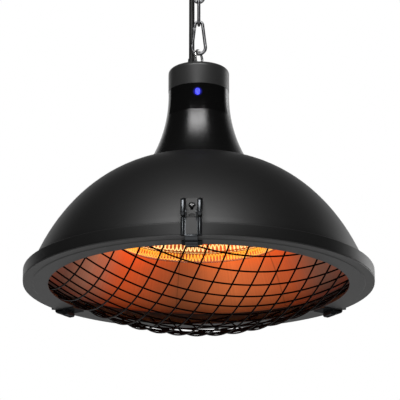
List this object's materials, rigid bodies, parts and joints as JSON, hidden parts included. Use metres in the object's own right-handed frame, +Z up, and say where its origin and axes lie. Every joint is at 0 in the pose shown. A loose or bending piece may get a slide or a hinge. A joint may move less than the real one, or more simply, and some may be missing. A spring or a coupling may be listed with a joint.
{
  "type": "infrared heater",
  "caption": "Pendant infrared heater: spun steel dome with a flared neck, ring lamp behind a bulged wire guard, draw latches, hung on a chain with its cable.",
  "frame": {"origin": "middle of the ceiling plate's top face, where it meets the ceiling", "axes": "+Z up, away from the room; -Y towards the viewer, the side of the control window and of the first latch; +X to the viewer's right"},
  "size_m": [0.4249, 0.4341, 0.5029],
  "materials": {
    "black_steel": "satin",
    "zinc_steel": "bright zinc",
    "spring_steel": "satin",
    "black_rubber": "matte",
    "cable_rubber": "smooth",
    "ceramic": "fired ceramic, matte",
    "board_green": "coated board",
    "relay_blue": "moulded",
    "window_black": "high gloss",
    "light_blue": "lit blue",
    "charcoal_paint": "fine matte",
    "black_paint": "satin",
    "dome_paint": "fine textured matte",
    "wire_paint": "satin",
    "black_screw": "blackened",
    "shield_aluminium": "mill",
    "polished_reflector": "polished",
    "quartz": "clear",
    "tungsten": "glowing",
    "lead_sleeve": "braided glass sleeve"
  },
  "bodies": {
    "ceiling": {"ceiling_plate": "black_steel", "ceiling_hook": "zinc_steel", "hook_nut": "zinc_steel", "cable_grommet": "black_rubber", "supply_cable_top": "cable_rubber"},
    "link_upper": {"chain_link_upper": "zinc_steel", "supply_cable_upper": "cable_rubber"},
    "link_lower": {"chain_link_lower": "zinc_steel", "supply_cable_lower": "cable_rubber"},
    "carabiner": {"carabiner_body": "zinc_steel", "gate_pin": "zinc_steel"},
    "carabiner_gate": {"carabiner_gate": "zinc_steel"},
    "heater": {"supply_cable_bottom": "cable_rubber", "strain_relief": "black_rubber", "hanging_eye": "zinc_steel", "eye_spacer": "zinc_steel", "eye_nut": "zinc_steel", "load_plate": "zinc_steel", "plate_screws": "zinc_steel", "chassis": "zinc_steel", "terminal_block": "ceramic", "inner_cable": "cable_rubber", "control_board": "board_green", "board_standoffs": "ceramic", "power_relay": "relay_blue", "signal_receiver": "window_black", "light_lens": "light_blue", "control_window": "window_black", "top_cap": "charcoal_paint", "neck_housing": "black_paint", "neck_screws": "zinc_steel", "shield_spacers": "zinc_steel", "reflector_spacers": "zinc_steel", "heat_shield": "shield_aluminium", "thermal_cutout": "window_black", "outer_dome": "dome_paint", "reflector": "polished_reflector", "lamp_tube": "quartz", "filament_lower": "tungsten", "filament_upper": "tungsten", "lamp_end_caps": "ceramic", "cap_posts": "zinc_steel", "lamp_clips": "spring_steel", "lamp_leads": "lead_sleeve", "guard_ring": "charcoal_paint", "guard_wires_outer": "wire_paint", "guard_wires_inner": "wire_paint", "strike_plates": "black_paint", "latch_bases": "black_paint", "latch_screws": "black_screw", "latch_pins": "spring_steel"},
    "latch_front": {"latch_lever_front": "black_paint", "latch_cover_front": "charcoal_paint"},
    "latch_right": {"latch_lever_right": "black_paint", "latch_cover_right": "charcoal_paint"},
    "latch_left": {"latch_lever_left": "black_paint", "latch_cover_left": "charcoal_paint"}
  },
  "joints": [
    {"name": "chain_swing", "type": "hinge", "parent": "ceiling", "child": "link_upper", "pos_m": [0, 0, -0.052], "axis": [0, 1, 0], "range_deg": [-12, 12], "deforming": ["supply_cable_top"]},
    {"name": "link_swing", "type": "hinge", "parent": "link_upper", "child": "link_lower", "pos_m": [0, 0, -0.082], "axis": [1, 0, 0], "range_deg": [-12, 12], "deforming": ["supply_cable_upper"]},
    {"name": "carabiner_swing", "type": "hinge", "parent": "link_lower", "child": "carabiner", "pos_m": [0, 0, -0.1122], "axis": [0, 1, 0], "range_deg": [-12, 12], "deforming": ["supply_cable_lower"]},
    {"name": "heater_swing", "type": "hinge", "parent": "carabiner", "child": "heater", "pos_m": [0, 0, -0.1509], "axis": [1, 0, 0], "range_deg": [-12, 12], "deforming": ["supply_cable_bottom"]},
    {"name": "gate_hinge", "type": "hinge", "parent": "carabiner", "child": "carabiner_gate", "pos_m": [-0.00543, 0, -0.11789], "axis": [0, -1, 0], "range_deg": [0, 25], "stiffness_Nm_per_rad": 0.03, "springref_deg": -20.05},
    {"name": "latch_front_hinge", "type": "hinge", "parent": "heater", "child": "latch_front", "pos_m": [0, -0.2166, -0.4233], "axis": [-1, 0, 0], "range_deg": [0, 90]},
    {"name": "latch_right_hinge", "type": "hinge", "parent": "heater", "child": "latch_right", "pos_m": [0.17298, 0.13035, -0.4233], "axis": [0.6018, -0.7986, 0], "range_deg": [0, 90]},
    {"name": "latch_left_hinge", "type": "hinge", "parent": "heater", "child": "latch_left", "pos_m": [-0.18268, 0.11638, -0.4233], "axis": [0.5373, 0.8434, 0], "range_deg": [0, 90]}
  ]
}
